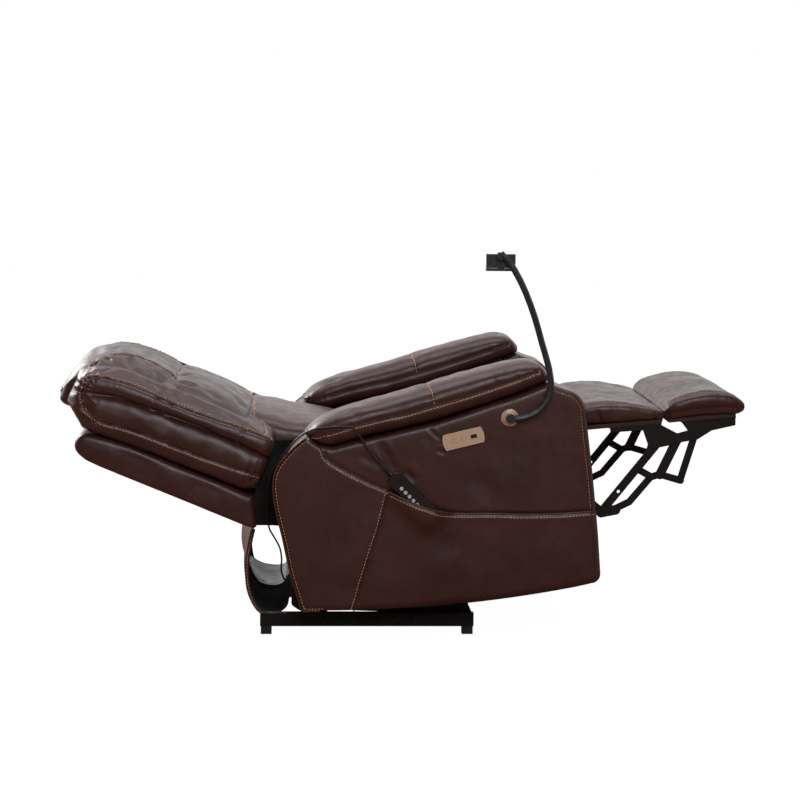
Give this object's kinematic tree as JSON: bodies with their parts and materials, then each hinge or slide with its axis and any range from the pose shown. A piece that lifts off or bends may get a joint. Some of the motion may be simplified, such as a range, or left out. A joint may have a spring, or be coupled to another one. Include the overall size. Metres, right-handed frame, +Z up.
{
  "type": "lift recliner chair",
  "caption": "Powered lift and recline armchair, shown reclined, with folding footrest linkage, lifting base, hand control and gooseneck holder.",
  "frame": {"origin": "on the floor, at the centre of the four foot bolt holes", "axes": "+X is the way the sitter faces, +Y is to the sitter's left, +Z is up"},
  "size_m": [1.8716, 0.953, 1.064],
  "materials": {
    "leather_brown": "semi-gloss",
    "leather_flap": "satin",
    "black_steel": "satin",
    "motor_housing": "matte",
    "actuator_rod": "brushed",
    "spring_wire": "satin",
    "glide_rubber": "matte",
    "footrest_board": "raw",
    "bronze_plate": "brushed",
    "black_trim": "matte",
    "remote_shell": "gloss",
    "remote_keys": "satin",
    "cord_jacket": "satin",
    "neck_coat": "satin",
    "holder_plastic": "satin"
  },
  "bodies": {
    "base": {"base_frame": "black_steel", "foot_glides": "glide_rubber"},
    "lift_arms": {"lift_arm_frame": "black_steel"},
    "control_links": {"lift_control_links": "black_steel"},
    "lift_motor": {"lift_motor": "motor_housing"},
    "lift_rod": {"lift_rod": "actuator_rod"},
    "chassis": {"side_plate_left": "black_steel", "side_plate_right": "black_steel", "cross_rails": "black_steel", "seat_springs": "spring_wire", "seat_cushion": "leather_brown", "arm_panel_left": "leather_brown", "arm_panel_right": "leather_brown", "arm_pad_left": "leather_brown", "arm_pad_right": "leather_brown", "side_pocket": "leather_brown", "control_plate": "bronze_plate", "plate_gasket": "black_trim", "usb_socket": "black_trim", "power_supply": "motor_housing", "cord_connector": "motor_housing", "rear_flap": "leather_flap", "neck_rosette": "bronze_plate", "hand_control": "remote_shell", "remote_cord": "cord_jacket"},
    "back": {"back_frame": "black_steel", "outer_back_panel": "leather_brown", "head_pillow": "leather_brown", "mid_pillow": "leather_brown", "lumbar_pad": "leather_brown", "side_roll_left": "leather_brown", "side_roll_right": "leather_brown"},
    "recline_motor": {"recline_motor": "motor_housing"},
    "recline_rod": {"recline_rod": "actuator_rod"},
    "footrest_motor": {"footrest_motor": "motor_housing"},
    "footrest_rod": {"footrest_rod": "actuator_rod"},
    "footrest_crank": {"footrest_crank": "black_steel"},
    "long_links": {"long_links": "black_steel"},
    "drive_links": {"drive_links": "black_steel"},
    "cross_links": {"cross_links": "black_steel"},
    "rear_ottoman_links": {"rear_ottoman_links": "black_steel"},
    "front_ottoman_links": {"front_ottoman_links": "black_steel"},
    "mid_rest": {"mid_bracket": "black_steel", "mid_board": "footrest_board", "mid_pad": "leather_brown"},
    "ottoman": {"ottoman_bracket": "black_steel", "ottoman_board": "footrest_board", "ottoman_pad": "leather_brown"},
    "gooseneck": {"gooseneck": "neck_coat"},
    "phone_plate": {"phone_plate": "holder_plastic"},
    "phone_jaw": {"phone_jaw": "holder_plastic"},
    "plate_button_1": {"plate_button_1": "bronze_plate"},
    "plate_button_2": {"plate_button_2": "bronze_plate"},
    "remote_button_1": {"remote_button_1": "remote_keys"},
    "remote_button_2": {"remote_button_2": "remote_keys"},
    "remote_button_3": {"remote_button_3": "remote_keys"},
    "remote_button_4": {"remote_button_4": "remote_keys"},
    "remote_button_5": {"remote_button_5": "remote_keys"}
  },
  "joints": [
    {"name": "lift", "type": "hinge", "parent": "base", "child": "lift_arms", "pos_m": [0.262, 0, 0.062], "axis": [0, 1, 0], "range_deg": [0, 60]},
    {"name": "chassis_tilt", "type": "hinge", "parent": "lift_arms", "child": "chassis", "pos_m": [-0.18964, 0, 0.08], "axis": [0, 1, 0], "range_deg": [-34.05, 0]},
    {"name": "control_link_turn", "type": "hinge", "parent": "base", "child": "control_links", "pos_m": [0.28, 0, 0.04], "axis": [0, 1, 0], "range_deg": [0, 62.8]},
    {"name": "lift_motor_turn", "type": "hinge", "parent": "base", "child": "lift_motor", "pos_m": [-0.15, 0.096, 0.066], "axis": [0, 1, 0], "range_deg": [0, 5.67]},
    {"name": "lift_rod_slide", "type": "slide", "parent": "lift_motor", "child": "lift_rod", "axis": [0.9724, 0, 0.2332], "range_m": [0, 0.09043]},
    {"name": "recline", "type": "hinge", "parent": "chassis", "child": "back", "pos_m": [-0.10529, 0, 0.4998], "axis": [0, 1, 0], "range_deg": [0, 52], "deforming": ["rear_flap"]},
    {"name": "recline_motor_turn", "type": "hinge", "parent": "chassis", "child": "recline_motor", "pos_m": [0.39852, -0.05, 0.35558], "axis": [0, 1, 0], "range_deg": [0, 0.4505]},
    {"name": "recline_rod_slide", "type": "slide", "parent": "recline_motor", "child": "recline_rod", "axis": [-0.9999, 0, 0.0148], "range_m": [0, 0.13166]},
    {"name": "footrest", "type": "hinge", "parent": "chassis", "child": "footrest_crank", "pos_m": [0.46288, 0, 0.4822], "axis": [0, 1, 0], "range_deg": [0, 92]},
    {"name": "footrest_motor_turn", "type": "hinge", "parent": "chassis", "child": "footrest_motor", "pos_m": [-0.01397, 0.02, 0.25632], "axis": [0, 1, 0], "range_deg": [0, 1.16]},
    {"name": "footrest_rod_slide", "type": "slide", "parent": "footrest_motor", "child": "footrest_rod", "axis": [0.9408, 0, 0.3391], "range_m": [-0.11484, 0]},
    {"name": "long_link_turn", "type": "hinge", "parent": "footrest_crank", "child": "long_links", "pos_m": [0.64249, 0, 0.33545], "axis": [0, 1, 0], "range_deg": [-53.02, 0]},
    {"name": "drive_link_turn", "type": "hinge", "parent": "footrest_crank", "child": "drive_links", "pos_m": [0.68194, 0, 0.34319], "axis": [0, 1, 0], "range_deg": [-61.61, 0]},
    {"name": "cross_link_turn", "type": "hinge", "parent": "long_links", "child": "cross_links", "pos_m": [0.74056, 0, 0.45621], "axis": [0, 1, 0], "range_deg": [0, 40.58]},
    {"name": "mid_rest_turn", "type": "hinge", "parent": "long_links", "child": "mid_rest", "pos_m": [0.79589, 0, 0.52975], "axis": [0, 1, 0], "range_deg": [0, 49.76]},
    {"name": "rear_ottoman_link_turn", "type": "hinge", "parent": "cross_links", "child": "rear_ottoman_links", "pos_m": [0.80327, 0, 0.44105], "axis": [0, 1, 0], "range_deg": [-31.67, 0]},
    {"name": "front_ottoman_link_turn", "type": "hinge", "parent": "cross_links", "child": "front_ottoman_links", "pos_m": [0.86209, 0, 0.42451], "axis": [0, 1, 0], "range_deg": [-25.84, 0]},
    {"name": "ottoman_turn", "type": "hinge", "parent": "mid_rest", "child": "ottoman", "pos_m": [0.84998, 0, 0.54189], "axis": [0, 1, 0], "range_deg": [-2.3, 0]},
    {"name": "gooseneck_swing", "type": "hinge", "parent": "chassis", "child": "gooseneck", "pos_m": [0.364, -0.466, 0.623], "axis": [0, 1, 0], "range_deg": [-40, 40]},
    {"name": "phone_plate_swivel", "type": "hinge", "parent": "gooseneck", "child": "phone_plate", "pos_m": [0.33, -0.478, 1.048], "axis": [0, 1, 0], "range_deg": [-60, 60]},
    {"name": "phone_jaw_slide", "type": "slide", "parent": "phone_plate", "child": "phone_jaw", "axis": [0, 0, -1], "range_m": [0, 0.015], "stiffness_N_per_m": 200, "springref_m": -0.004},
    {"name": "plate_button_1_press", "type": "slide", "parent": "chassis", "child": "plate_button_1", "axis": [0, 1, 0], "range_m": [0, 0.0009], "stiffness_N_per_m": 300, "springref_m": -0.001},
    {"name": "plate_button_2_press", "type": "slide", "parent": "chassis", "child": "plate_button_2", "axis": [0, 1, 0], "range_m": [0, 0.0009], "stiffness_N_per_m": 300, "springref_m": -0.001},
    {"name": "remote_button_1_press", "type": "slide", "parent": "chassis", "child": "remote_button_1", "axis": [0, 1, 0], "range_m": [0, 0.0009], "stiffness_N_per_m": 300, "springref_m": -0.001},
    {"name": "remote_button_2_press", "type": "slide", "parent": "chassis", "child": "remote_button_2", "axis": [0, 1, 0], "range_m": [0, 0.0009], "stiffness_N_per_m": 300, "springref_m": -0.001},
    {"name": "remote_button_3_press", "type": "slide", "parent": "chassis", "child": "remote_button_3", "axis": [0, 1, 0], "range_m": [0, 0.0009], "stiffness_N_per_m": 300, "springref_m": -0.001},
    {"name": "remote_button_4_press", "type": "slide", "parent": "chassis", "child": "remote_button_4", "axis": [0, 1, 0], "range_m": [0, 0.0009], "stiffness_N_per_m": 300, "springref_m": -0.001},
    {"name": "remote_button_5_press", "type": "slide", "parent": "chassis", "child": "remote_button_5", "axis": [0, 1, 0], "range_m": [0, 0.0009], "stiffness_N_per_m": 300, "springref_m": -0.001}
  ],
  "couplings": [
    {"joint": "chassis_tilt", "follows": "lift", "ratio": -0.56667},
    {"joint": "control_link_turn", "follows": "lift", "ratio": 1.0458},
    {"joint": "lift_motor_turn", "follows": "lift", "ratio": 0.093611},
    {"joint": "lift_rod_slide", "follows": "lift", "m_per_rad": 0.086167},
    {"joint": "recline_motor_turn", "follows": "recline", "ratio": 0.007701},
    {"joint": "recline_rod_slide", "follows": "recline", "m_per_rad": 0.14485},
    {"joint": "footrest_motor_turn", "follows": "footrest", "ratio": 0.012115},
    {"joint": "footrest_rod_slide", "follows": "footrest", "m_per_rad": -0.071394},
    {"joint": "long_link_turn", "follows": "footrest", "ratio": -0.57609},
    {"joint": "drive_link_turn", "follows": "footrest", "ratio": -0.66948},
    {"joint": "cross_link_turn", "follows": "footrest", "ratio": 0.44085},
    {"joint": "mid_rest_turn", "follows": "footrest", "ratio": 0.54068},
    {"joint": "rear_ottoman_link_turn", "follows": "footrest", "ratio": -0.34399},
    {"joint": "front_ottoman_link_turn", "follows": "footrest", "ratio": -0.28063},
    {"joint": "ottoman_turn", "follows": "footrest", "ratio": -0.024826}
  ]
}
